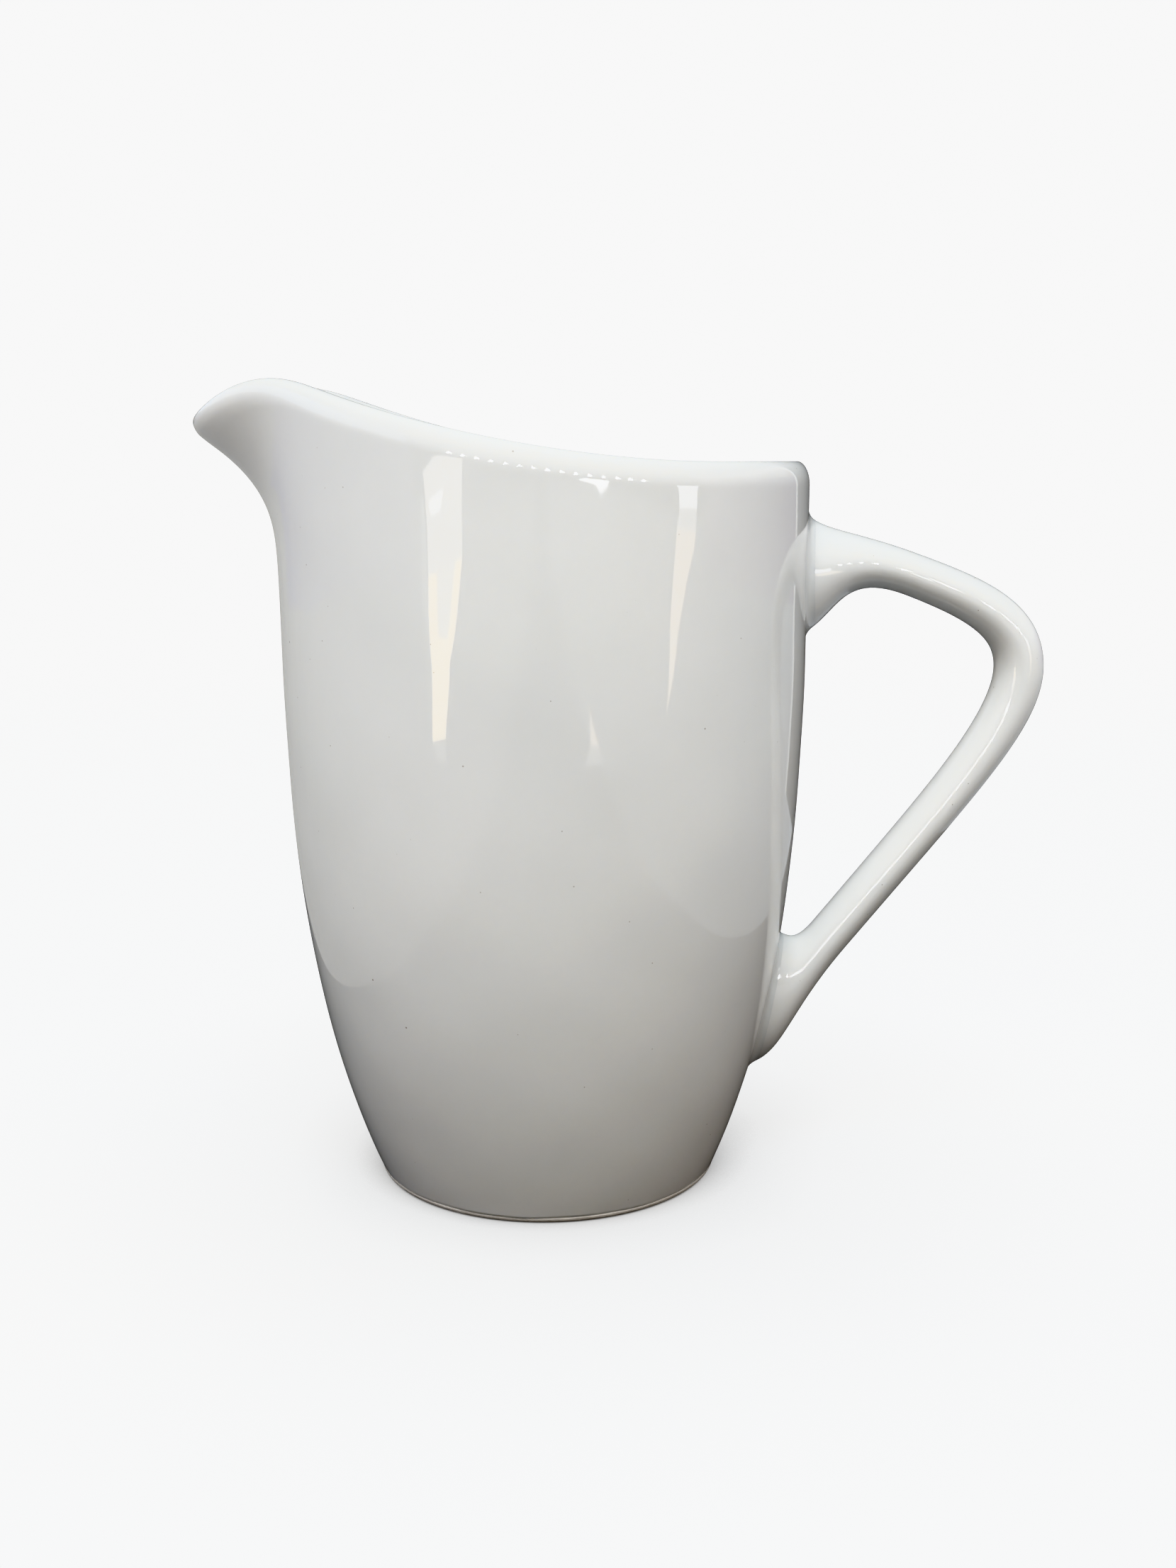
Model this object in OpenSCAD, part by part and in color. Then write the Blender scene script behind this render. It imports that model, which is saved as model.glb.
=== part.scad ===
// Porcelain pouring jug of a coffee service: slip-cast body with a beak-shaped lip, luted ear handle.
// Millimetres. +Z is up, the jug stands on z = 0, the body's axis is the Z axis,
// the beak points to -X and the handle to +X.

/* [Body] */
// Height at which the wall's curve ends, just above the lowest part of the rim
wall_h = 100; // [90:1:115]
// Radius of the outer wall at wall_h, less the slight flare
belly_r = 35.9; // [32:0.1:42]
// How much the wall flares out over its whole height
flare_out = 0.4; // [0:0.1:2]
// How much narrower the wall is at the foot
foot_draw_in = 12.1; // [8:0.1:16]
// How quickly the wall draws in towards the foot
draw_in_power = 3.6; // [2.5:0.1:5]
// Thickness of the wall, and width of the rounded lip
wall_t = 3.6; // [3:0.1:4.5]
// Height of the outer edge of the rim at the handle side
rim_h = 98.2; // [88:0.1:110]

/* [Beak] */
// How much higher the rim is beside the beak than at the handle
rim_rise = 12; // [6:0.1:16]
// Angle from the beak at which the rim starts to rise
rim_rise_angle = 132; // [100:1:160]
// How slowly the rim starts to rise
rim_rise_ease = 1.2; // [1:0.1:1.6]
// How far the beak stands out of the body
beak_reach = 10.5; // [6:0.1:14]
// Height at which the wall starts to lean out into the beak
beak_from_z = 81.5; // [75:0.5:88]
// How suddenly the beak curves out towards its tip
beak_power = 3.3; // [2:0.1:4]
// Half angle of the beak, seen from above
beak_angle = 18; // [14:1:26]
// Depth of the pouring notch at the tip
notch_depth = 6.8; // [3:0.1:8]
// Half angle of the pouring notch
notch_angle = 14; // [8:0.5:18]

/* [Floor and foot] */
// Thickness of the floor at the middle
floor_t = 3.6; // [3:0.1:5]
// Height of the recess under the floor
recess_h = 2; // [1.5:0.1:2.5]
// Height above the floor at which the inside wall turns into the floor
floor_turn = 10; // [6:0.5:14]
// Height of the bare bearing ring
foot_ring_h = 0.8; // [0.5:0.1:1.2]
// Width of the bare bearing ring where it meets the body
foot_ring_w = 3.4; // [2.6:0.1:4.5]

/* [Handle] */
// How far the middle of the handle reaches from the body's axis
handle_reach = 66.1; // [60:0.1:72]
// Height of the outermost point of the handle
handle_knee_z = 71.5; // [66:0.5:76]
// Thickness of the handle's arms, seen from the side
arm_t = 5.7; // [5:0.1:7]
// Thickness of the handle at its knee
knee_t = 6.7; // [5.5:0.1:8]
// Width of the handle, seen from above
arm_w = 8.8; // [7:0.1:11]
// Slope of the lower arm above the horizontal
lower_arm_slope = 51; // [45:0.5:58]

/* [Handle roots] */
// Height of the middle of the upper root
upper_root_z = 84.75; // [80:0.05:86]
// Height of the upper root along the wall
upper_root_h = 15.7; // [12:0.1:17]
// Width of the upper root across the wall
upper_root_w = 15; // [12:0.1:18]
// Height of the middle of the lower root
lower_root_z = 23.9; // [22:0.1:28]
// Height of the lower root along the wall
lower_root_h = 19.2; // [15:0.1:20]
// Width of the lower root across the wall
lower_root_w = 12.6; // [10:0.1:15]
// Thickness of the slip between root and wall
slip_t = 0.35; // [0.2:0.05:0.6]
// How far the squeezed-out slip stands round the root
slip_bead = 0.45; // [0.3:0.05:0.8]

/* [Hidden] */

glaze_white = [0.90, 0.90, 0.88];
slip_white = [0.86, 0.86, 0.83];
bare_porcelain = [0.93, 0.91, 0.86];

// Fineness of the mesh
columns = 72;
outer_rows = 25;
inner_rows = 20;
lip_rows = 5;
floor_rows = 5;
handle_sides = 24;
arm_rings = 34;
root_rings = 6;
seat_steps = 4;

// The columns crowd together at the beak, the rows at both ends of the wall
column_crowding = 0.45;
row_crowding = 0.08;
step = 0.01;
t_step = 0.001;

// Recess under the floor: where its flat ends, and the width of its sloping side
recess_inset = 6;
recess_bevel = 0.8;
// Floor: how square its turn into the wall is
floor_power = 3.5;
floor_z = recess_h + floor_t;
foot_r = wall_r(foot_ring_h);
ring_edge_r = foot_ring_h;

// Handle centre line in the XZ plane: two curves that meet upright at the knee, then a straight arm
lower_dir = [-cos(lower_arm_slope), -sin(lower_arm_slope)];
knee = [handle_reach, handle_knee_z];
arm_top = [36.4, 89.8];
upper_curve = [arm_top, arm_top + [18.6, -7], knee + [0, 9.2], knee];
arm_bend = knee + [-17.4, -28.1];
knee_curve = [knee, knee + [0, -6.4], arm_bend - 16.5 * lower_dir, arm_bend];
lower_arm_l = 26;
// Stretch of the centre line between the two trumpet-shaped roots, in curve numbers
arm_from = 0.3;
arm_to = 2.5;
knee_spread = 0.54;

// A root: height of its middle, half height, half width, and which way the handle's outer side faces
upper_root = [upper_root_z, upper_root_h / 2, upper_root_w / 2, 1];
lower_root = [lower_root_z, lower_root_h / 2, lower_root_w / 2, -1];
// How steeply a root's surface leaves the wall, and how far that carries: middle value, then the
// part that is added at the outer side and taken off at the inner side
upper_lean = [38, 6];
upper_pull = [11.5, -3];
upper_follow = [28, 0];
lower_lean = [24, 9.5];
lower_pull = [9.5, 5];
lower_follow = [25, 14];

// ---------- small helpers ----------

function unit(v) = v / norm(v);
function smooth(u) = let (c = min(1, max(0, u))) c * c * (3 - 2 * c);
function bell(u) = exp(-u * u);
function bezier(p, t) =
    pow(1 - t, 3) * p[0] + 3 * pow(1 - t, 2) * t * p[1] + 3 * (1 - t) * t * t * p[2] + pow(t, 3) * p[3];
function hermite(p0, d0, p1, d1, t) =
    (2 * pow(t, 3) - 3 * t * t + 1) * p0 + (pow(t, 3) - 2 * t * t + t) * d0
    + (3 * t * t - 2 * pow(t, 3)) * p1 + (pow(t, 3) - t * t) * d1;
function reversed(list) = [for (i = [len(list) - 1 : -1 : 0]) list[i]];

// A closed skin over a list of rings, from a start point to an end point
module skin(start, rings, end) {
    n = len(rings[0]);
    last = len(rings) - 1;
    points = concat([start], [for (ring = rings) each ring], [end]);
    end_at = len(points) - 1;
    faces = concat(
        [for (i = [0 : n - 1]) [0, 1 + i, 1 + (i + 1) % n]],
        [for (j = [0 : last - 1], i = [0 : n - 1], half = [0, 1])
            let (a = 1 + j * n + i, b = 1 + j * n + (i + 1) % n)
            half == 0 ? [a, a + n, b] : [b, a + n, b + n]],
        [for (i = [0 : n - 1]) [end_at, 1 + last * n + (i + 1) % n, 1 + last * n + i]]
    );
    polyhedron(points = points, faces = faces, convexity = 8);
}

// ---------- body ----------

// Radius and slope of the outer wall at height z, away from the beak
function wall_r(z) =
    belly_r + flare_out * z / wall_h - foot_draw_in * pow(max(0, 1 - z / wall_h), draw_in_power);
function wall_slope(z) = (wall_r(z + step) - wall_r(z - step)) / (2 * step);

// Height of the rim's outer edge, at an angle from the beak
function edge_h(angle) =
    rim_h + rim_rise * smooth(pow(max(0, 1 - abs(angle) / rim_rise_angle), rim_rise_ease))
    - notch_depth * bell(angle / notch_angle);

// Outer surface: angle from the beak, and t from 0 at the foot to 1 at the rim's outer edge
function outer(angle, t) =
    let (top = edge_h(angle),
         z = foot_ring_h + (top - foot_ring_h) * t,
         up_beak = max(0, (z - beak_from_z) / (top - beak_from_z)),
         r = wall_r(z) + beak_reach * pow(up_beak, beak_power) * bell(angle / beak_angle))
    [-r * cos(angle), -r * sin(angle), z];
function outer_normal(angle, t) =
    unit(cross(outer(angle + step, t) - outer(angle - step, t),
               outer(angle, t + t_step) - outer(angle, t - t_step)));

function column_angle(i) =
    let (u = i / columns - 0.5) 360 * u - column_crowding * 180 / PI * sin(360 * u);
function row_t(u) = u - row_crowding * sin(360 * u);

function body_ring(f) = [for (i = [0 : columns - 1]) f(column_angle(i))];
function flat_ring(r, z) = body_ring(function (angle) [-r * cos(angle), -r * sin(angle), z]);
function outer_ring(t) = body_ring(function (angle) outer(angle, t));

// The lip is a half circle from the outer edge over to the inside
function lip_ring(turn) = body_ring(function (angle)
    let (n = outer_normal(angle, 1),
         along = outer(angle, 1) - outer(angle, 1 - t_step),
         up = unit(along - (along * n) * n))
    outer(angle, 1) - n * wall_t / 2 * (1 - cos(turn)) + up * wall_t / 2 * sin(turn));
function inner_ring(t) = body_ring(function (angle) outer(angle, t) - outer_normal(angle, t) * wall_t);

// Height fraction at which the inside wall turns into the floor, and its radius there
turn_t = (floor_z + floor_turn - foot_ring_h) / (rim_h - foot_ring_h);
function floor_ring(u) = body_ring(function (angle)
    let (start = outer(angle, turn_t) - outer_normal(angle, turn_t) * wall_t,
         shrink = pow(cos(90 * u), 2 / floor_power),
         z = start.z - (start.z - floor_z) * pow(sin(90 * u), 2 / floor_power))
    [start.x * shrink, start.y * shrink, z]);

module body() {
    underside = [flat_ring(foot_r - foot_ring_w - recess_inset, recess_h),
                 flat_ring(foot_r - foot_ring_w - recess_bevel, recess_h - 0.2),
                 flat_ring(foot_r - foot_ring_w, foot_ring_h)];
    outside = [for (j = [0 : outer_rows]) outer_ring(row_t(j / outer_rows))];
    lip = [for (j = [1 : lip_rows]) lip_ring(180 * j / (lip_rows + 1))];
    inside = [for (j = [0 : inner_rows]) inner_ring(1 - (1 - turn_t) * j / inner_rows)];
    floor_turn_rings = [for (j = [1 : floor_rows]) floor_ring(j / (floor_rows + 1))];
    color(glaze_white)
    skin([0, 0, recess_h], concat(underside, outside, lip, inside, floor_turn_rings), [0, 0, floor_z]);
}

// ---------- foot ring ----------

module foot_ring() {
    outer_centre = foot_r - ring_edge_r;
    inner_centre = foot_r - foot_ring_w + ring_edge_r;
    color(bare_porcelain)
    rotate_extrude($fn = 96) {
        translate([inner_centre, 0]) square([outer_centre - inner_centre, foot_ring_h]);
        intersection() {
            union() {
                translate([outer_centre, foot_ring_h]) circle(r = ring_edge_r, $fn = 48);
                translate([inner_centre, foot_ring_h]) circle(r = ring_edge_r, $fn = 48);
            }
            translate([foot_r - foot_ring_w, 0]) square([foot_ring_w, foot_ring_h]);
        }
    }
}

// ---------- handle and its roots ----------

// Outward direction of the wall at a point on its handle side, and a point held off the wall
function wall_normal(z, y) =
    let (r = wall_r(z)) unit([sqrt(r * r - y * y) / r, y / r, -wall_slope(z)]);
function wall_point(z, y, off) =
    let (r = wall_r(z)) [sqrt(r * r - y * y), y, z] + off * wall_normal(z, y);

// A root's outline on the wall: shrunk to a share of its size, then grown by a margin
function seat_z(root, a, share, grow) = root[0] + root[3] * (root[1] * share + grow) * cos(a);
function seat_y(root, a, share, grow) = -(root[2] * share + grow) * sin(a);
function seat_point(root, a, share, grow, off) =
    wall_point(seat_z(root, a, share, grow), seat_y(root, a, share, grow), off);
function handle_ring(f) = [for (k = [0 : handle_sides - 1]) f(360 * k / handle_sides)];
function seat_ring(root, share, grow, off) =
    handle_ring(function (a) seat_point(root, a, share, grow, off));

// Slip between a root and the wall, squeezed out into a small bead all round
module slip_joint(root) {
    under = [for (k = [1 : seat_steps]) seat_ring(root, k / seat_steps, slip_bead, 0)];
    bead = [seat_ring(root, 1, slip_bead * 0.75, slip_t * 0.6)];
    over = [for (k = [seat_steps : -1 : 1]) seat_ring(root, k / seat_steps, 0, slip_t)];
    rings = concat(under, bead, over);
    bottom = wall_point(root[0], 0, 0);
    top = wall_point(root[0], 0, slip_t);
    color(slip_white)
    if (root[3] > 0) skin(bottom, rings, top);
    else skin(top, reversed(rings), bottom);
}
module upper_slip_joint() { slip_joint(upper_root); }
module lower_slip_joint() { slip_joint(lower_root); }

// Centre line of the handle in the XZ plane
function handle_centre(w) =
    w < 1 ? bezier(upper_curve, w)
    : w < 2 ? bezier(knee_curve, w - 1)
    : arm_bend + lower_dir * lower_arm_l * (w - 2);
function handle_dir(w) = unit(handle_centre(w + step) - handle_centre(w - step));
function handle_half_t(w) = arm_t / 2 + (knee_t - arm_t) / 2 * bell((w - 1) / knee_spread);
function arm_point(w, a) =
    let (c = handle_centre(w), d = handle_dir(w), t = handle_half_t(w) * cos(a))
    [c.x - d.y * t, -arm_w / 2 * sin(a), c.y + d.x * t];

// A line along a root, from its seat on the slip to the arm
function root_point(root, lean, pull, follow, w, toward, a, t) =
    let (z = seat_z(root, a, 1, 0),
         y = seat_y(root, a, 1, 0),
         n = wall_normal(z, y),
         inward = unit(wall_point(root[0], 0, 0) - wall_point(z, y, 0)),
         along = unit(inward - (inward * n) * n),
         angle = lean[0] + lean[1] * cos(a),
         leave = (n * cos(angle) + along * sin(angle)) * (pull[0] + pull[1] * cos(a)),
         d = toward * handle_dir(w),
         arrive = [d.x, 0, d.y] * (follow[0] + follow[1] * cos(a)))
    hermite(wall_point(z, y, slip_t), leave, arm_point(w, a), arrive, t);
function upper_root_ring(t) = handle_ring(function (a)
    root_point(upper_root, upper_lean, upper_pull, upper_follow, arm_from, 1, a, t));
function lower_root_ring(t) = handle_ring(function (a)
    root_point(lower_root, lower_lean, lower_pull, lower_follow, arm_to, -1, a, t));

module handle() {
    upper_seat = [for (k = [1 : seat_steps]) seat_ring(upper_root, k / seat_steps, 0, slip_t)];
    upper = [for (k = [1 : root_rings]) upper_root_ring(k / (root_rings + 1))];
    arm = [for (k = [0 : arm_rings])
        let (w = arm_from + (arm_to - arm_from) * k / arm_rings) handle_ring(function (a) arm_point(w, a))];
    lower = [for (k = [root_rings : -1 : 1]) lower_root_ring(k / (root_rings + 1))];
    lower_seat = [for (k = [seat_steps : -1 : 1]) seat_ring(lower_root, k / seat_steps, 0, slip_t)];
    color(glaze_white)
    skin(wall_point(upper_root[0], 0, slip_t),
         concat(upper_seat, upper, arm, lower, lower_seat),
         wall_point(lower_root[0], 0, slip_t));
}

body();
foot_ring();
upper_slip_joint();
lower_slip_joint();
handle();
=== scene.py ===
"""Porcelain pouring jug of a coffee service: the looks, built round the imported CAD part.

Metres and degrees. +Z is up, the beak points to -X, the handle to +X, and the camera looks along +Y.
The driving dimensions are those of the CAD part. From the same formulas this script makes finer skins,
with the slight unevenness of slip-cast ware, a rounder lip, a fillet of slip round each handle root, and a
hand-wiped glaze line.
"""

import math

import bpy
import numpy as np
from mathutils import Matrix, Vector


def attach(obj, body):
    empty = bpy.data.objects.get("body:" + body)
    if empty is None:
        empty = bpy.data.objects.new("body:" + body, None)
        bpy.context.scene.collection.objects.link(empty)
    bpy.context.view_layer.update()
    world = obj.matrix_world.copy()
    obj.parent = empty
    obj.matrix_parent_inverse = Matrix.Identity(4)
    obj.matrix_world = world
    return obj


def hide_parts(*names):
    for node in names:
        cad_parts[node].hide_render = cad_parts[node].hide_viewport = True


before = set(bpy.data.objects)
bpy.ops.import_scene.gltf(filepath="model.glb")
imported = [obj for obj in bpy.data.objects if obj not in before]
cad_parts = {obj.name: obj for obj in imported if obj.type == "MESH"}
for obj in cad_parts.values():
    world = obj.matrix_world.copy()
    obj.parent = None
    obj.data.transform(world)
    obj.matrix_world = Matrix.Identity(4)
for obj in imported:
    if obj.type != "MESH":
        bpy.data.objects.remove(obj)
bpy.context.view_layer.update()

MM = 0.001

# Body, as in the CAD part
WALL_H = 100 * MM
BELLY_R = 35.9 * MM
FLARE_OUT = 0.4 * MM
FOOT_DRAW_IN = 12.1 * MM
DRAW_IN_POWER = 3.6
WALL_T = 3.6 * MM
RIM_H = 98.2 * MM
RIM_RISE = 12 * MM
RIM_RISE_ANGLE = 132
RIM_RISE_EASE = 1.2
BEAK_REACH = 10.5 * MM
BEAK_FROM_Z = 81.5 * MM
BEAK_POWER = 3.3
BEAK_ANGLE = 18
NOTCH_DEPTH = 6.8 * MM
NOTCH_ANGLE = 14
FLOOR_T = 3.6 * MM
RECESS_H = 2 * MM
FLOOR_TURN = 10 * MM
FLOOR_POWER = 3.5
FOOT_RING_H = 0.8 * MM
FOOT_RING_W = 3.4 * MM

# Handle, as in the CAD part: points are (x, z)
ARM_T = 5.7 * MM
KNEE_T = 6.7 * MM
ARM_W = 8.8 * MM
LOWER_ARM_SLOPE = 51
LOWER_ARM_L = 26 * MM
KNEE = np.array([66.1, 71.5]) * MM
ARM_TOP = np.array([36.4, 89.8]) * MM
ARM_BEND = KNEE + np.array([-17.4, -28.1]) * MM
ARM_FROM = 0.3
ARM_TO = 2.5
KNEE_SPREAD = 0.54
SLIP_T = 0.35 * MM
UPPER_ROOT = dict(z=84.75 * MM, half_h=15.7 / 2 * MM, half_w=15 / 2 * MM, turn=1,
                  lean=(38, 6), pull=(11.5 * MM, -3 * MM), follow=(28 * MM, 0), at=ARM_FROM, toward=1)
LOWER_ROOT = dict(z=23.9 * MM, half_h=19.2 / 2 * MM, half_w=12.6 / 2 * MM, turn=-1,
                  lean=(24, 9.5), pull=(9.5 * MM, 5 * MM), follow=(25 * MM, 14 * MM), at=ARM_TO, toward=-1)

# Fineness of the skins
COLUMNS = 288
RECESS_ROWS = 9
RECESS_ROUND_ROWS = 8
OUTER_ROWS = 120
LIP_ROWS = 18
LIP_SHOULDER_ROWS = 8
INNER_ROWS = 80
FLOOR_ROWS = 18
RING_EDGE_ROWS = 12
RING_FACE_ROWS = 8
HANDLE_SIDES = 80
ARM_RINGS = 150
ROOT_RINGS = 26
SEAT_SHARES = (0.4, 0.7, 0.9, 0.97)
COLUMN_CROWDING = 0.45
ROW_CROWDING = 0.08
STEP = 1e-3

# Unevenness of the ware: wobbles are (turns round the jug, turns up it, phase), waves (turns, share, phase)
WOBBLE = 0.035 * MM
WOBBLES = ((2, 1.1, 0.4), (3, -2.3, 2.1), (5, 3.1, 4.4), (7, -4.7, 1.3), (9, 5.9, 5.2))
WOBBLE_INSET = 2.2
WOBBLE_FROM_FOOT = 1 / 8
WOBBLE_FROM_AXIS = 10 * MM
GLAZE_LINE_WAVE = 0.06 * MM
GLAZE_LINE_WAVES = ((3, 1, 1), (8, 0.6, 0), (19, 0.3, 2))
GLAZE_LINE_REACH = 0.02
LIP_ROUNDING_H = 3.2 * MM
RECESS_FLAT = 0.86

# Slip squeezed out at the handle's roots
FILLET = 1.5 * MM
FILLET_WAVE = 0.15
FILLET_WAVES = ((2, 1, 0.7), (5, 0.6, 2.2))
FILLET_SHARE = 0.07
FILLET_PULL = 0.6
FILLET_ROWS = 13
FILLET_DEPTH = 0.3 * MM
FEATHER = 0.3 * MM
SUNK = 0.05 * MM


# ---------- small helpers ----------

def smooth(u):
    c = np.clip(u, 0, 1)
    return c * c * (3 - 2 * c)


def bell(u):
    return np.exp(-u * u)


def unit(v):
    return v / np.linalg.norm(v, axis=-1, keepdims=True)


def cos_d(angle):
    return np.cos(np.radians(angle))


def sin_d(angle):
    return np.sin(np.radians(angle))


def xyz(x, y, z):
    return np.stack(np.broadcast_arrays(x, y, z), axis=-1)


def waves(angle, parts):
    """A sum of waves round a circle, each part a (turns, share, phase)."""
    return sum(share * np.sin(np.radians(turns * angle) + phase) for turns, share, phase in parts)


def bezier(p, t):
    t = np.asarray(t, float)[..., None]
    return ((1 - t) ** 3 * p[0] + 3 * (1 - t) ** 2 * t * p[1]
            + 3 * (1 - t) * t * t * p[2] + t ** 3 * p[3])


def hermite(p0, d0, p1, d1, t):
    return ((2 * t ** 3 - 3 * t * t + 1) * p0 + (t ** 3 - 2 * t * t + t) * d0
            + (3 * t * t - 2 * t ** 3) * p1 + (t ** 3 - t * t) * d1)


def new_object(name, data):
    thing = bpy.data.objects.new(name, data)
    bpy.context.scene.collection.objects.link(thing)
    return thing


def skin(name, rings, start=None, end=None, closed=False):
    """A smooth mesh over a list of rings. Its ends shut at the start and end points, or on each other."""
    rings = np.asarray(rings, float)
    count, sides = rings.shape[:2]
    points = rings.reshape(-1, 3)
    here = np.arange(count * sides).reshape(count, sides)
    if closed:
        above = np.roll(here, -1, axis=0)
    else:
        above = here[1:]
        here = here[:-1]
    beside = np.roll(here, -1, axis=1)
    above_beside = np.roll(above, -1, axis=1)
    faces = np.stack([here, above, above_beside, beside], axis=-1).reshape(-1, 4).tolist()
    for point, ring, order in ((start, 0, 1), (end, count - 1, -1)):
        if point is None:
            continue
        points = np.vstack([points, point])
        edge = np.arange(ring * sides, (ring + 1) * sides)
        beyond = np.roll(edge, -1)
        hub = len(points) - 1
        faces += [[hub, a, b][::order] for a, b in zip(edge.tolist(), beyond.tolist())]
    mesh = bpy.data.meshes.new(name)
    mesh.from_pydata(points.tolist(), [], faces)
    mesh.polygons.foreach_set("use_smooth", np.ones(len(mesh.polygons), bool))
    mesh.update()
    return new_object(name, mesh)


def place(piece, material, node):
    """A finished piece stands for its CAD node and rides on the jug's one body."""
    piece.data.materials.append(material)
    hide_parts(node)
    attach(piece, "root")
    return piece


# ---------- body ----------

def wall_r(z):
    return BELLY_R + FLARE_OUT * z / WALL_H - FOOT_DRAW_IN * np.maximum(0, 1 - z / WALL_H) ** DRAW_IN_POWER


def wall_slope(z):
    h = 0.01 * MM
    return (wall_r(z + h) - wall_r(z - h)) / (2 * h)


def edge_h(angle):
    rise = smooth(np.maximum(0, 1 - np.abs(angle) / RIM_RISE_ANGLE) ** RIM_RISE_EASE)
    return RIM_H + RIM_RISE * rise - NOTCH_DEPTH * bell(angle / NOTCH_ANGLE)


def outer(angle, t):
    """Outer surface: angle from the beak, and t from 0 at the foot to 1 at the rim's outer edge."""
    top = edge_h(angle)
    z = FOOT_RING_H + (top - FOOT_RING_H) * t
    up_beak = np.maximum(0, (z - BEAK_FROM_Z) / (top - BEAK_FROM_Z))
    r = wall_r(z) + BEAK_REACH * up_beak ** BEAK_POWER * bell(angle / BEAK_ANGLE)
    return xyz(-r * cos_d(angle), -r * sin_d(angle), z)


def outer_normal(angle, t):
    across = outer(angle + STEP, t) - outer(angle - STEP, t)
    up = outer(angle, t + STEP) - outer(angle, t - STEP)
    return unit(np.cross(across, up))


def column_angles():
    """Angles from the beak, crowded together near it."""
    u = np.arange(COLUMNS) / COLUMNS - 0.5
    return 360 * u - COLUMN_CROWDING * 180 / math.pi * np.sin(2 * math.pi * u)


def uneven(points):
    """Slip-cast ware is never quite round: draws the points in by a few hundredths of a millimetre."""
    angle = np.arctan2(points[..., 1], points[..., 0])
    r = np.maximum(np.hypot(points[..., 0], points[..., 1]), 1 * MM)
    height = points[..., 2] / WALL_H
    wave = sum(np.sin(turns * angle + 2 * math.pi * rise * height + phase) / turns ** 0.5
               for turns, rise, phase in WOBBLES)
    fade = smooth(height / WOBBLE_FROM_FOOT) * smooth(r / WOBBLE_FROM_AXIS)
    share = 1 - WOBBLE * (WOBBLE_INSET + wave) * fade / r
    return points * xyz(share, share, 1)


def glaze_line(angle):
    """Height at which the wiped glaze ends above the bare foot ring."""
    return FOOT_RING_H + GLAZE_LINE_WAVE * waves(angle, GLAZE_LINE_WAVES)


def rolled_in(below):
    """How far the lip's sponged outer side, part of an ellipse, is in from the wall, below its edge."""
    shoulder = LIP_ROUNDING_H - WALL_T / 2
    return WALL_T / 2 * (1 - math.sqrt(1 - (max(0, shoulder - below) / LIP_ROUNDING_H) ** 2))


def lip_ring(angle, turn):
    """One ring over the lip: turn goes from the outside, 0, over the top, 90, to the inside, 180."""
    n = outer_normal(angle, 1)
    along = outer(angle, 1) - outer(angle, 1 - STEP)
    up = unit(along - np.sum(along * n, axis=-1, keepdims=True) * n)
    half = WALL_T / 2
    height = half * sin_d(turn)
    inward = half * (1 - cos_d(turn))
    if turn < 90:
        inward = half * (1 - math.sqrt(1 - ((height + LIP_ROUNDING_H - half) / LIP_ROUNDING_H) ** 2))
    return outer(angle, 1) - n * inward + up * height


def make_body(material):
    """The shell: from the recess under it, up the outside, over the lip, and down to the floor inside."""
    angle = column_angles()
    floor_z = RECESS_H + FLOOR_T
    turn_t = (floor_z + FLOOR_TURN - FOOT_RING_H) / (RIM_H - FOOT_RING_H)

    def flat_ring(r, z):
        return xyz(-r * cos_d(angle), -r * sin_d(angle), z)

    recess_r = wall_r(FOOT_RING_H) - FOOT_RING_W
    rings = [flat_ring(recess_r * share, RECESS_H) for share in np.linspace(0.06, RECESS_FLAT, RECESS_ROWS)]
    for turn in np.linspace(9, 90, RECESS_ROUND_ROWS):
        r = recess_r * (RECESS_FLAT + (1 - RECESS_FLAT) * sin_d(turn))
        rings.append(flat_ring(r, RECESS_H - (RECESS_H - FOOT_RING_H) * (1 - cos_d(turn))))
    rise = glaze_line(angle) - FOOT_RING_H
    wall_h = (edge_h(angle) - FOOT_RING_H)[:, None]
    shoulder = LIP_ROUNDING_H - WALL_T / 2
    for t in np.linspace(0, 1, OUTER_ROWS + 1):
        row = t - ROW_CROWDING * math.sin(2 * math.pi * t)
        ring = outer(angle[:, None], row * (1 - shoulder / wall_h))[:, 0]
        ring[:, 2] += rise * max(0, 1 - row / GLAZE_LINE_REACH)
        rings.append(ring)
    for below in shoulder * (1 - np.arange(1, LIP_SHOULDER_ROWS + 1) / LIP_SHOULDER_ROWS):
        t = 1 - below / wall_h[:, 0]
        rings.append(outer(angle, t) - outer_normal(angle, t) * rolled_in(below))
    rings += [lip_ring(angle, 180 * j / (LIP_ROWS + 1)) for j in range(1, LIP_ROWS + 1)]
    for j in range(INNER_ROWS + 1):
        t = 1 - (1 - turn_t) * j / INNER_ROWS
        rings.append(outer(angle, t) - outer_normal(angle, t) * WALL_T)
    start = rings[-1]
    for j in range(1, FLOOR_ROWS + 1):
        u = j / (FLOOR_ROWS + 1)
        shrink = cos_d(90 * u) ** (2 / FLOOR_POWER)
        drop = (start[:, 2] - floor_z) * sin_d(90 * u) ** (2 / FLOOR_POWER)
        rings.append(xyz(start[:, 0] * shrink, start[:, 1] * shrink, start[:, 2] - drop))
    rings = [uneven(ring) for ring in rings]
    piece = skin("jug_body", rings, start=[0, 0, RECESS_H], end=[0, 0, floor_z])
    return place(piece, material, "body")


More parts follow.
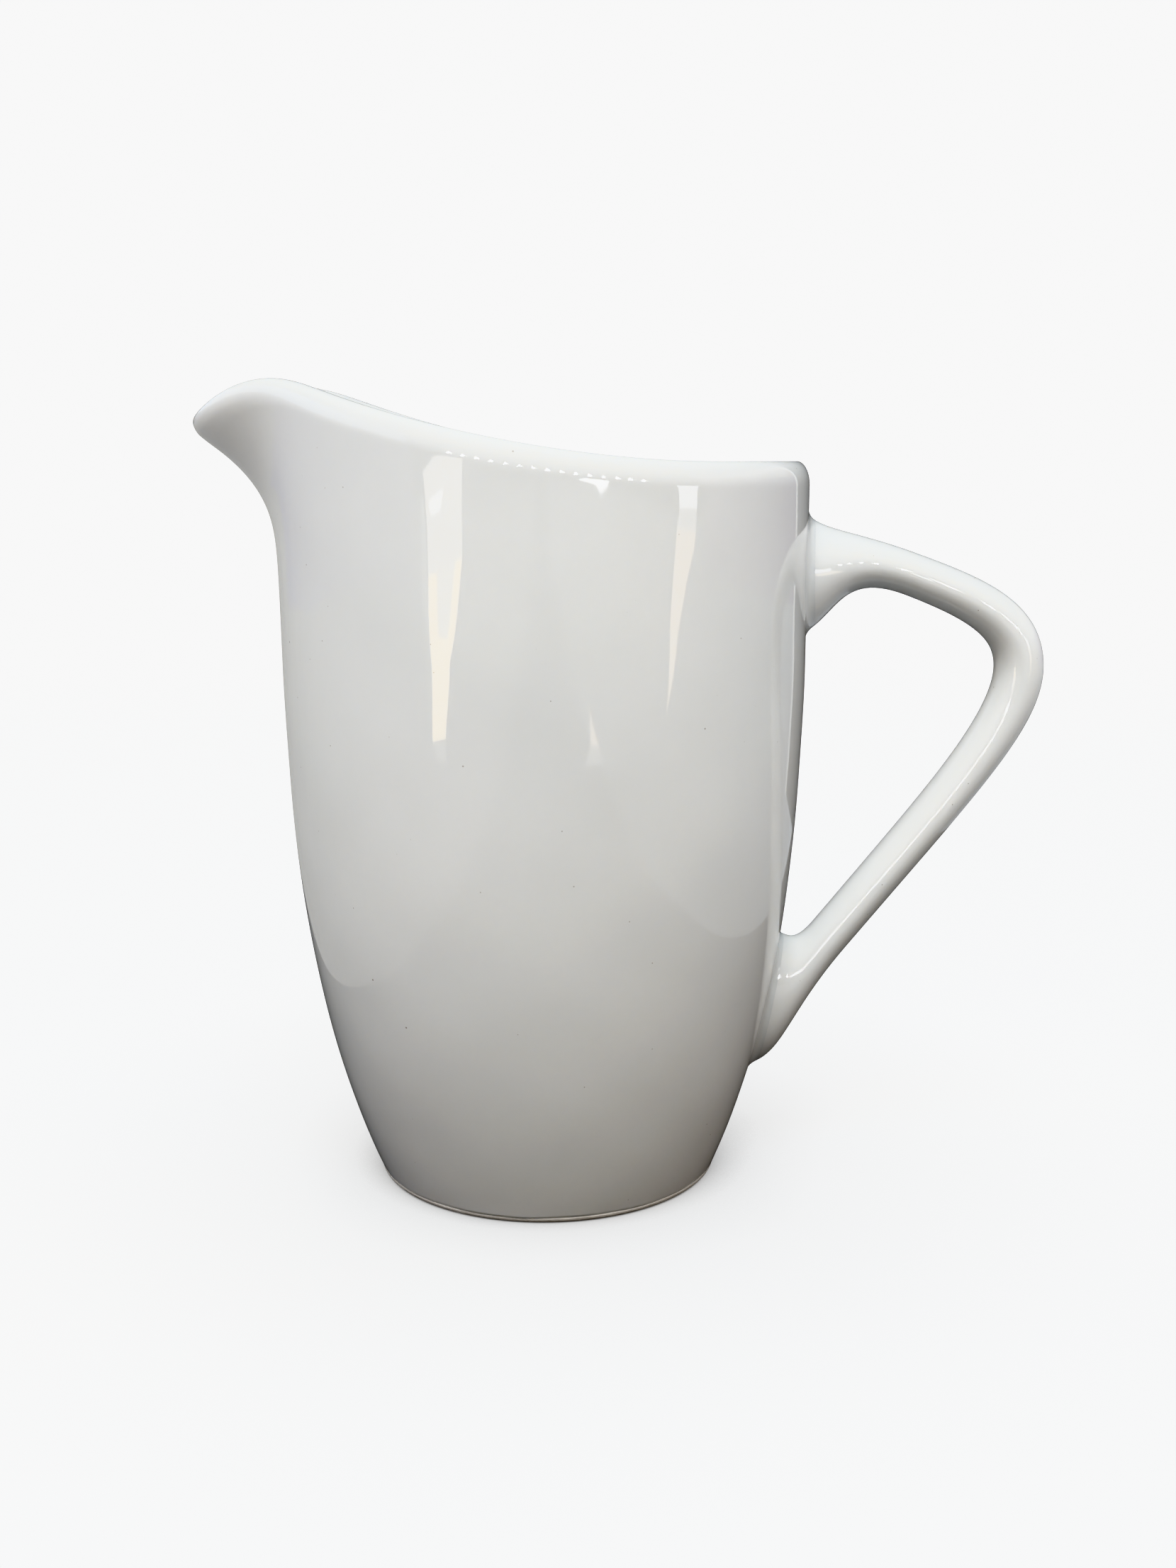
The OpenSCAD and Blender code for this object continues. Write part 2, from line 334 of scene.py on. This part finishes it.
def make_foot_ring(material):
    """The bare bearing ring, rounded where it was ground. Its top meets the uneven edge of the glaze."""
    angle = column_angles()
    outside = wall_r(FOOT_RING_H)
    inside = outside - FOOT_RING_W
    edge = FOOT_RING_H
    turns = np.linspace(0, 90, RING_EDGE_ROWS)
    profile = [(outside - edge * (1 - cos_d(a)), edge * (1 - sin_d(a))) for a in turns]
    profile += [(r, 0) for r in np.linspace(outside - edge, inside + edge, RING_FACE_ROWS)[1:-1]]
    profile += [(inside + edge * (1 - cos_d(a)), edge * (1 - sin_d(a))) for a in turns[::-1]]
    rings = [xyz(-r * cos_d(angle), -r * sin_d(angle), z) for r, z in profile[1:-1]]
    top_out = xyz(-outside * cos_d(angle), -outside * sin_d(angle), glaze_line(angle))
    top_in = xyz(-inside * cos_d(angle), -inside * sin_d(angle), FOOT_RING_H)
    rings = [top_out] + rings + [top_in]
    piece = skin("bare_foot_ring", rings[::-1], closed=True)
    return place(piece, material, "foot_ring")


# ---------- handle and its roots ----------

def wall_normal(z, y):
    """The wall's outward direction on the handle's side."""
    r = wall_r(z)
    return unit(xyz(np.sqrt(r * r - y * y) / r, y / r, -wall_slope(z)))


def wall_point(z, y, off):
    """A point off the wall on the handle's side."""
    r = wall_r(z)
    return xyz(np.sqrt(r * r - y * y), y, z) + off * wall_normal(z, y)


def seat_zy(root, a, share=1.0, grow=0.0):
    """Height and sideways place of a root's oval outline on the wall, scaled by a share or grown."""
    z = root["z"] + root["turn"] * (root["half_h"] * share + grow) * cos_d(a)
    y = -(root["half_w"] * share + grow) * sin_d(a)
    return z, y


LOWER_DIR = -np.array([math.cos(math.radians(LOWER_ARM_SLOPE)), math.sin(math.radians(LOWER_ARM_SLOPE))])
UPPER_CURVE = [ARM_TOP, ARM_TOP + np.array([18.6, -7]) * MM, KNEE + np.array([0, 9.2]) * MM, KNEE]
KNEE_CURVE = [KNEE, KNEE + np.array([0, -6.4]) * MM, ARM_BEND - 16.5 * MM * LOWER_DIR, ARM_BEND]


def handle_centre(w):
    """The arm's centre line: w runs 0-1 over the upper arm, 1-2 round the knee and on down the lower arm."""
    if w < 1:
        return bezier(UPPER_CURVE, w)
    if w < 2:
        return bezier(KNEE_CURVE, w - 1)
    return ARM_BEND + LOWER_DIR * LOWER_ARM_L * (w - 2)


def handle_dir(w):
    return unit(handle_centre(w + 0.01) - handle_centre(w - 0.01))


def arm_ring(w, a):
    centre = handle_centre(w)
    d = handle_dir(w)
    half_t = ARM_T / 2 + (KNEE_T - ARM_T) / 2 * bell((w - 1) / KNEE_SPREAD)
    t = half_t * cos_d(a)
    return xyz(centre[0] - d[1] * t, -ARM_W / 2 * sin_d(a), centre[1] + d[0] * t)


def root_ring(root, a, t):
    """One ring of a trumpet-shaped root, t from 0 at the wall to 1 at the arm."""
    z, y = seat_zy(root, a)
    n = wall_normal(z, y)
    seat = wall_point(z, y, 0)
    inward = unit(wall_point(root["z"], 0.0, 0) - seat)
    along = unit(inward - np.sum(inward * n, axis=-1, keepdims=True) * n)
    share = cos_d(a)[:, None]
    lean = root["lean"][0] + root["lean"][1] * share
    leave = (n * cos_d(lean) + along * sin_d(lean)) * (root["pull"][0] + root["pull"][1] * share)
    d = root["toward"] * handle_dir(root["at"])
    arrive = np.array([d[0], 0, d[1]]) * (root["follow"][0] + root["follow"][1] * share)
    return hermite(seat + n * SLIP_T, leave, arm_ring(root["at"], a), arrive, t)


def make_handle(material):
    a = 360 * np.arange(HANDLE_SIDES) / HANDLE_SIDES
    rings = []
    for share in SEAT_SHARES:
        z, y = seat_zy(UPPER_ROOT, a, share)
        rings.append(wall_point(z, y, SLIP_T))
    rings += [root_ring(UPPER_ROOT, a, j / ROOT_RINGS) for j in range(ROOT_RINGS)]
    rings += [arm_ring(ARM_FROM + (ARM_TO - ARM_FROM) * k / ARM_RINGS, a) for k in range(ARM_RINGS + 1)]
    rings += [root_ring(LOWER_ROOT, a, j / ROOT_RINGS) for j in range(ROOT_RINGS - 1, -1, -1)]
    for share in SEAT_SHARES[::-1]:
        z, y = seat_zy(LOWER_ROOT, a, share)
        rings.append(wall_point(z, y, SLIP_T))
    ends = [wall_point(root["z"], 0.0, SLIP_T) for root in (UPPER_ROOT, LOWER_ROOT)]
    piece = skin("jug_handle", rings, start=ends[0], end=ends[1])
    return place(piece, material, "handle")


def make_fillet(name, node, root, material):
    """The slip squeezed out round a root, sponged to a hollow fillet whose thin edges run out smoothly."""
    sides = 2 * HANDLE_SIDES
    a = 360 * np.arange(sides) / sides
    size = FILLET * (1 + FILLET_WAVE * waves(a, FILLET_WAVES))[:, None]
    z, y = seat_zy(root, a)
    corner = uneven(wall_point(z, y, 0))
    n = wall_normal(z, y)
    far_z, far_y = seat_zy(root, a, grow=FILLET)
    on_wall = corner + unit(uneven(wall_point(far_z, far_y, 0)) - corner) * size
    wall_way = unit(corner - on_wall)
    up_root = root_ring(root, a, FILLET_SHARE)
    root_way = unit(up_root - root_ring(root, a, FILLET_SHARE * 0.8))
    reach = np.linalg.norm(up_root - corner, axis=-1, keepdims=True)
    leave = on_wall + wall_way * size * FILLET_PULL
    arrive = up_root - root_way * reach * FILLET_PULL
    curve = [on_wall, leave, arrive, up_root]
    into_root = unit(wall_point(root["z"], 0.0, 0) - corner)
    rings = [on_wall - wall_way * FEATHER - n * SUNK]
    rings += [bezier(curve, t) for t in np.linspace(0, 1, FILLET_ROWS)]
    rings.append(up_root + root_way * FEATHER + into_root * SUNK)
    rings.append(up_root + into_root * FILLET_DEPTH)
    rings.append(corner + into_root * FILLET_DEPTH - n * FILLET_DEPTH)
    rings.append(on_wall - n * FILLET_DEPTH)
    if root["turn"] < 0:
        rings = rings[::-1]
    piece = skin(name, rings, closed=True)
    return place(piece, material, node)


# ---------- materials ----------

def new_material(name):
    material = bpy.data.materials.new(name)
    material.use_nodes = True
    tree = material.node_tree
    shader = tree.nodes["Principled BSDF"]
    return material, tree, shader


def object_place(tree):
    return tree.nodes.new("ShaderNodeTexCoord").outputs["Object"]


def noise(tree, scale, detail=3.0, roughness=0.5):
    """A noise texture's value, its scale in blotches per metre."""
    node = tree.nodes.new("ShaderNodeTexNoise")
    node.inputs["Scale"].default_value = scale
    node.inputs["Detail"].default_value = detail
    node.inputs["Roughness"].default_value = roughness
    tree.links.new(object_place(tree), node.inputs["Vector"])
    return node.outputs["Fac"]


def ramp(tree, source, stops):
    """Maps a texture's value onto colours, given as (position, colour) stops."""
    node = tree.nodes.new("ShaderNodeValToRGB")
    elements = node.color_ramp.elements
    while len(elements) < len(stops):
        elements.new(0.5)
    for element, (position, colour) in zip(elements, stops):
        element.position = position
        element.color = (*colour, 1)
    tree.links.new(source, node.inputs["Fac"])
    return node.outputs["Color"]


def map_range(tree, source, low, high, to_low, to_high, kind="LINEAR"):
    node = tree.nodes.new("ShaderNodeMapRange")
    node.interpolation_type = kind
    node.inputs["From Min"].default_value = low
    node.inputs["From Max"].default_value = high
    node.inputs["To Min"].default_value = to_low
    node.inputs["To Max"].default_value = to_high
    tree.links.new(source, node.inputs["Value"])
    return node.outputs["Result"]


def specks(tree, per_metre, radius, share):
    """Mask of sparse round specks: one per cell of a Voronoi pattern, kept in a share of the cells."""
    cells = tree.nodes.new("ShaderNodeTexVoronoi")
    cells.inputs["Scale"].default_value = per_metre
    tree.links.new(object_place(tree), cells.inputs["Vector"])
    near = map_range(tree, cells.outputs["Distance"], radius * per_metre * 0.4, radius * per_metre, 1, 0)
    split = tree.nodes.new("ShaderNodeSeparateColor")
    tree.links.new(cells.outputs["Color"], split.inputs["Color"])
    chosen = map_range(tree, split.outputs["Red"], 1 - share, 1 - share + 0.02, 0, 1)
    both = tree.nodes.new("ShaderNodeMath")
    both.operation = "MULTIPLY"
    tree.links.new(near, both.inputs[0])
    tree.links.new(chosen, both.inputs[1])
    return both.outputs["Value"]


def mix_colour(tree, factor, first, second):
    node = tree.nodes.new("ShaderNodeMix")
    node.data_type = "RGBA"
    tree.links.new(factor, node.inputs["Factor"])
    for value, socket in ((first, node.inputs[6]), (second, node.inputs[7])):
        if isinstance(value, tuple):
            socket.default_value = (*value, 1)
        else:
            tree.links.new(value, socket)
    return node.outputs[2]


def bump(tree, shader, layers):
    """Chains bump nodes, one for each (height, distance in metres) layer."""
    before = None
    for height, distance in layers:
        node = tree.nodes.new("ShaderNodeBump")
        node.inputs["Strength"].default_value = 1
        node.inputs["Distance"].default_value = distance
        tree.links.new(height, node.inputs["Height"])
        if before is not None:
            tree.links.new(before, node.inputs["Normal"])
        before = node.outputs["Normal"]
    tree.links.new(before, shader.inputs["Normal"])


def glaze(name, light, deep, pooling):
    """White feldspar glaze: glassy, faintly clouded, with fine waves, rare pinholes and iron specks."""
    material, tree, shader = new_material(name)
    clouds = noise(tree, 38, detail=4)
    white = ramp(tree, clouds, [(0.35, deep), (0.65, light)])
    grain = noise(tree, 900, detail=2)
    white = mix_colour(tree, map_range(tree, grain, 0.35, 0.7, 0, pooling), white, deep)
    iron = specks(tree, 140, 0.17 * MM, 0.7)
    fine_iron = specks(tree, 350, 0.11 * MM, 0.6)
    white = mix_colour(tree, iron, white, (0.27, 0.22, 0.17))
    white = mix_colour(tree, fine_iron, white, (0.40, 0.36, 0.31))
    tree.links.new(white, shader.inputs["Base Color"])
    tree.links.new(map_range(tree, noise(tree, 120), 0.3, 0.7, 0.02, 0.045),
                   shader.inputs["Roughness"])
    shader.inputs["IOR"].default_value = 1.52
    shader.inputs["Subsurface Weight"].default_value = 0.25
    shader.inputs["Subsurface Radius"].default_value = (1.0, 0.9, 0.75)
    shader.inputs["Subsurface Scale"].default_value = 0.9 * MM
    pinholes = specks(tree, 340, 0.1 * MM, 0.5)
    sunk = map_range(tree, pinholes, 0, 1, 1, 0)
    bump(tree, shader, [(noise(tree, 160, detail=1), 0.012 * MM), (sunk, 0.03 * MM)])
    return material


def bare_porcelain(name):
    """Vitrified but unglazed porcelain: matt, fine-grained, a little warm, greyed where it has worn."""
    material, tree, shader = new_material(name)
    tone = ramp(tree, noise(tree, 260, detail=5),
                [(0.3, (0.52, 0.49, 0.45)), (0.7, (0.66, 0.63, 0.59))])
    wear = map_range(tree, noise(tree, 1400, detail=3, roughness=0.7), 0.52, 0.75, 0, 0.55)
    tone = mix_colour(tree, wear, tone, (0.42, 0.40, 0.37))
    tree.links.new(tone, shader.inputs["Base Color"])
    tree.links.new(map_range(tree, noise(tree, 500), 0.3, 0.7, 0.62, 0.85),
                   shader.inputs["Roughness"])
    shader.inputs["IOR"].default_value = 1.5
    bump(tree, shader, [(noise(tree, 2600, detail=4, roughness=0.7), 0.04 * MM)])
    return material


# ---------- studio ----------

CAMERA_AT = Vector((6, -241.2, 99.9)) * MM
CAMERA_PITCH = 10.49
CAMERA_ROLL = -0.165
CAMERA_LENS = 39.87
SENSOR = 36.0
STUDIO_R = 1.0
CARD_R = 0.25
NEARER_CARD_R = CARD_R - 5 * MM
MID_H = 60 * MM
ROUND_SIDES = 96
WALL_STEPS = 12

# Pale floor and backdrop, seen by the camera only
FLOOR_Z = -0.02 * MM
FLOOR_RADII = (0.1, 0.3, 0.6, 0.9)
FLOOR_FADE = (0.15, 0.85)
FLOOR_GLOW = 1.2
# Painted contact shadow: near the jug the floor's glow drops to this, within this reach
PAINTED_SHADOW_GLOW = 0.05
PAINTED_SHADOW_REACH = 0.07
BACKDROP_R = 4
BACKDROP_RINGS = 24
BACKDROP_GLOW = 1.5

# Dark table and the glowing ground round it, painted bounce light: the camera doesn't see them, the jug's
# glaze and its shading do
TABLE_LEFT = -0.085
TABLE_RIGHT = 0.112
TABLE_FRONT = -0.14
TABLE_BACK = 0.6
TABLE_Z = -0.05 * MM
GROUND_Z = -1 * MM
GROUND_REACH = 3

# Small triangular lamps: how many, the first and last azimuth, and corners as (azimuth aside, elevation)
LAMPS = 15
LAMP_AZIMUTHS = (-35, 43)
LAMP_CORNERS = ((-1, 9), (1.4, 11), (0.4, 15))


def make_camera():
    data = bpy.data.cameras.new("camera")
    data.lens = CAMERA_LENS
    data.sensor_width = SENSOR
    data.clip_start = 0.01
    camera = new_object("camera", data)
    tilt = Matrix.Rotation(math.radians(90 - CAMERA_PITCH), 4, "X")
    roll = Matrix.Rotation(math.radians(CAMERA_ROLL), 4, "Z")
    camera.matrix_world = Matrix.Translation(CAMERA_AT) @ tilt @ roll
    bpy.context.scene.camera = camera


def plain_mesh(name, points, faces):
    """A mesh that belongs to the studio and not to the jug."""
    mesh = bpy.data.meshes.new(name)
    mesh.from_pydata([tuple(p) for p in points], [], faces)
    thing = new_object(name, mesh)
    return thing


def flat_sheet(name, x_from, x_to, y_from, y_to, z):
    corners = ((x_from, y_from), (x_to, y_from), (x_to, y_to), (x_from, y_to))
    return plain_mesh(name, [(x, y, z) for x, y in corners], [[0, 1, 2, 3]])


def seen_by(thing, camera=False, gloss=False, diffuse=False):
    """Which rays meet a studio piece: the camera's, the glaze's reflections, or the soft shading's."""
    thing.visible_camera = camera
    thing.visible_glossy = gloss
    thing.visible_diffuse = diffuse
    thing.visible_transmission = False
    thing.visible_volume_scatter = False
    thing.visible_shadow = False


def glowing(name, colour, strength):
    """A material that only gives out light."""
    material = bpy.data.materials.new(name)
    material.use_nodes = True
    tree = material.node_tree
    tree.nodes.remove(tree.nodes["Principled BSDF"])
    glow = tree.nodes.new("ShaderNodeEmission")
    glow.inputs["Color"].default_value = (*colour, 1)
    glow.inputs["Strength"].default_value = strength
    tree.links.new(glow.outputs["Emission"], tree.nodes["Material Output"].inputs["Surface"])
    return material


def direction_point(azimuth, elevation, distance):
    """A point round the jug: azimuth 0 is towards the camera, and positive is towards the handle."""
    return Vector((distance * sin_d(azimuth), -distance * cos_d(azimuth),
                   MID_H + distance * math.tan(math.radians(elevation))))


def light_card(name, corners, colour, strength, distance=CARD_R):
    """A bright or dark card that shows only in the glaze's reflections. Corners are (azimuth, elevation)."""
    points = [direction_point(azimuth, elevation, distance) for azimuth, elevation in corners]
    card = plain_mesh(name, points, [list(range(len(corners)))])
    card.data.materials.append(glowing(name, colour, strength))
    seen_by(card, gloss=True)


def make_floor():
    """A pale glowing floor for the camera, with a painted contact shadow where the jug stands, that fades
    out into the backdrop.
    """
    points = [(0, 0, FLOOR_Z)]
    faces = []
    for k, r in enumerate(FLOOR_RADII):
        for i in range(ROUND_SIDES):
            angle = 360 * i / ROUND_SIDES
            points.append((r * cos_d(angle), r * sin_d(angle), FLOOR_Z))
            a = 1 + k * ROUND_SIDES + i
            b = 1 + k * ROUND_SIDES + (i + 1) % ROUND_SIDES
            faces.append([0, a, b] if k == 0 else [a - ROUND_SIDES, a, b, b - ROUND_SIDES])
    floor = plain_mesh("floor", points, faces)
    material, tree, shader = new_material("floor")
    shader.inputs["Base Color"].default_value = (0.22, 0.22, 0.22, 1)
    shader.inputs["Roughness"].default_value = 0.9
    shader.inputs["Specular IOR Level"].default_value = 0.1
    shader.inputs["Emission Color"].default_value = (1, 1, 1, 1)
    reach = tree.nodes.new("ShaderNodeVectorMath")
    reach.operation = "LENGTH"
    tree.links.new(object_place(tree), reach.inputs[0])
    fade = map_range(tree, reach.outputs["Value"], *FLOOR_FADE, 1, 0, "SMOOTHERSTEP")
    tree.links.new(fade, shader.inputs["Alpha"])
    # Painted contact shadow: ambient occlusion dims the floor's glow where the jug stands
    painted_contact_shadow = tree.nodes.new("ShaderNodeAmbientOcclusion")
    painted_contact_shadow.samples = 8
    painted_contact_shadow.inputs["Distance"].default_value = PAINTED_SHADOW_REACH
    glow = map_range(tree, painted_contact_shadow.outputs["AO"], 0, 1, PAINTED_SHADOW_GLOW, FLOOR_GLOW)
    tree.links.new(glow, shader.inputs["Emission Strength"])
    floor.data.materials.append(material)
    seen_by(floor, camera=True)


def make_backdrop():
    """A large white ball round the whole scene, for the camera only."""
    points = []
    faces = []
    for j in range(BACKDROP_RINGS + 1):
        elevation = -90 + 180 * j / BACKDROP_RINGS
        for i in range(ROUND_SIDES):
            angle = 360 * i / ROUND_SIDES
            level = cos_d(elevation)
            way = Vector((level * cos_d(angle), level * sin_d(angle), sin_d(elevation)))
            points.append(way * BACKDROP_R)
            if j < BACKDROP_RINGS:
                a = j * ROUND_SIDES + i
                b = j * ROUND_SIDES + (i + 1) % ROUND_SIDES
                faces.append([a, b, b + ROUND_SIDES, a + ROUND_SIDES])
    dome = plain_mesh("backdrop", points, faces)
    dome.data.materials.append(glowing("backdrop", (1, 1, 1), BACKDROP_GLOW))
    seen_by(dome, camera=True)


def make_table():
    """The dark table that the glaze mirrors low down, and the ground to its left, front and right, which
    glows as painted bounce light.
    """
    board = flat_sheet("dark_board", TABLE_LEFT, TABLE_RIGHT, TABLE_FRONT, TABLE_BACK, TABLE_Z)
    material, _, shader = new_material("dark_board")
    shader.inputs["Base Color"].default_value = (0.02, 0.018, 0.016, 1)
    shader.inputs["Roughness"].default_value = 0.6
    board.data.materials.append(material)
    seen_by(board, gloss=True, diffuse=True)

    far = GROUND_REACH
    # Painted light: these ground sheets glow in place of the light that a lit floor gives back
    for name, x_from, x_to, y_to, colour, strength in (
            ("ground_glow_left", -far, TABLE_LEFT, far, (1, 0.99, 0.95), 0.50),
            ("ground_glow_front", TABLE_LEFT, TABLE_RIGHT, TABLE_FRONT, (0.5, 0.65, 1), 0.12),
            ("ground_glow_right", TABLE_RIGHT, far, far, (0.9, 0.95, 1), 0.63)):
        ground = flat_sheet(name, x_from, x_to, -far, y_to, GROUND_Z)
        ground.data.materials.append(glowing(name, colour, strength))
        seen_by(ground, gloss=True, diffuse=True)


def glow_wall(name, azimuths, elevations, colour, strength):
    """A softly glowing stretch of the room's wall, curved round the jug."""
    points = [direction_point(azimuth, elevation, STUDIO_R)
              for azimuth in np.linspace(*azimuths, WALL_STEPS + 1) for elevation in elevations]
    wall = plain_mesh(name, points, [[2 * i, 2 * i + 1, 2 * i + 3, 2 * i + 2] for i in range(WALL_STEPS)])
    wall.data.materials.append(glowing(name, colour, strength))
    seen_by(wall, gloss=True, diffuse=True)


def lamp_row():
    """A row of small bright lamps that shows as glints along the lip and on the handle's lower root."""
    points = []
    for azimuth in np.linspace(*LAMP_AZIMUTHS, LAMPS):
        for aside, elevation in LAMP_CORNERS:
            points.append(direction_point(azimuth + aside, elevation, STUDIO_R))
    lamps = plain_mesh("lamp_row", points, [[3 * i, 3 * i + 1, 3 * i + 2] for i in range(LAMPS)])
    lamps.data.materials.append(glowing("lamp_row", (0.97, 0.97, 1), 60))
    seen_by(lamps, gloss=True)


def softbox(name, azimuth, elevation, power, colour, size=0.5):
    """A square soft light aimed at the jug's middle, left out of its reflections."""
    data = bpy.data.lights.new(name, "AREA")
    data.shape = "RECTANGLE"
    data.size = size
    data.size_y = size
    data.energy = power
    data.color = colour
    way = Vector((cos_d(elevation) * sin_d(azimuth), -cos_d(elevation) * cos_d(azimuth), sin_d(elevation)))
    light = new_object(name, data)
    light.location = Vector((0, 0, MID_H)) + way * STUDIO_R
    light.rotation_euler = (-way).to_track_quat("-Z", "Y").to_euler()
    light.visible_camera = False
    light.visible_glossy = False


def make_lights():
    """Soft lights above and round the jug, and the room's glowing walls."""
    softbox("high_key", 0, 60, 8.7, colour=(0.79, 0.89, 1))
    softbox("low_key", 0, 45, 4.2, colour=(1, 0.95, 0.87))
    softbox("front_fill", -30, 30, 1.5, colour=(1, 0.87, 0.7))
    softbox("left_fill", -120, 28, 1.85, colour=(0.97, 1, 0.8))
    softbox("right_fill", 90, 10, 1.6, colour=(1, 0.9, 0.75))
    softbox("back_fill", 120, 45, 1.3, colour=(0.35, 0.7, 1))
    softbox("back_light", 180, 40, 3.0, colour=(1, 0.97, 0.93))
    glow_wall("left_wall", (-139, -52), (-3.4, 12), (0.78, 0.76, 1), 0.49)
    glow_wall("upper_left_wall", (-139, -52), (12, 30), (0.68, 0.79, 1), 1.5)
    glow_wall("right_wall", (70, 139), (-3.4, 12), (0.91, 0.78, 1), 0.43)
    glow_wall("upper_right_wall", (70, 139), (12, 30), (1, 0.87, 0.81), 0.65)
    glow_wall("upper_front_wall", (-52, 70), (30, 50), (1, 0.77, 0.42), 0.7)


def make_reflections():
    """What the glaze mirrors: two windows, lamps, the lit corner of a table, and a dark door."""
    lamp_row()
    light_card("left_window", [(-44.7, 8.5), (-29, 11), (-29.7, 3), (-43, 2.5)], (1, 0.95, 0.88), 4.4)
    light_card("left_window_shine", [(-43, 7), (-36.5, 8), (-38, 6.5), (-42, 6)],
               (1, 1, 1), 8.5, NEARER_CARD_R)
    light_card("left_window_sunlit", [(-43, 2.5), (-29.7, 3), (-36, -3), (-37.5, -9), (-43, -9), (-44, -2)],
               (1, 0.86, 0.64), 10)
    light_card("left_window_pane", [(-39.5, 3), (-32.5, 3), (-36.5, -1), (-40, -1)],
               (1, 0.95, 0.86), 5, NEARER_CARD_R)
    light_card("left_window_foot", [(-43, -9), (-37.5, -9.5), (-37, -11), (-42, -10.5)], (1, 1, 1), 1.6)
    light_card("left_window_side", [(-46.5, 7), (-45, 7), (-43.5, 2.5), (-44, -8.5)], (1, 1, 1), 1.4)
    light_card("right_window_top", [(53.5, 11.5), (63.5, 11.5), (62.5, 7), (54.5, 7)], (0.96, 0.97, 1), 7.5)
    light_card("right_window", [(54.5, 7), (62.5, 7), (62, 5), (53, 5)], (1, 0.98, 0.96), 2.8)
    light_card("right_window_sunlit", [(53, 5), (62, 5), (61, 3), (55, -1.5), (51.5, -1.5)],
               (1, 0.84, 0.66), 4.8)
    light_card("right_window_low", [(51.5, -1.5), (55, -1.5), (52.5, -4.5), (50, -7)], (1, 0.84, 0.66), 4.8)
    light_card("lamp", [(14.5, 7.5), (17, 10), (26, 10), (25, 7), (22.5, 6.5), (19.5, 7)],
               (0.97, 0.98, 1), 22)
    light_card("table_corner", [(19, -6.5), (18.5, -9.5), (22, -9.5)], (1, 0.86, 0.72), 4)
    light_card("table_corner_foot", [(18.5, -9.5), (16, -11.5), (24.5, -11), (22, -9.5)], (1, 1, 1), 1.6)
    light_card("door_edge", [(129.5, 60), (129.5, -13), (131.5, -13), (131.5, 60)], (1, 1, 1), 1.1)
    light_card("dark_door", [(131.5, 60), (131.5, -13), (200, -13), (200, 60)], (1, 1, 1), 0.02)


# ---------- the scene ----------

make_camera()
body_glaze = glaze("body_glaze", (0.80, 0.80, 0.785), (0.765, 0.768, 0.755), 0.15)
slip_glaze = glaze("slip_glaze", (0.76, 0.77, 0.76), (0.70, 0.715, 0.71), 0.35)
foot_matt = bare_porcelain("foot_matt")

make_body(body_glaze)
make_foot_ring(foot_matt)
make_handle(body_glaze)
make_fillet("upper_slip_fillet", "upper_slip_joint", UPPER_ROOT, slip_glaze)
make_fillet("lower_slip_fillet", "lower_slip_joint", LOWER_ROOT, slip_glaze)
make_floor()
make_backdrop()
make_table()
make_lights()
make_reflections()

scene = bpy.context.scene
scene.view_settings.view_transform = "Khronos PBR Neutral"
scene.cycles.use_denoising = True
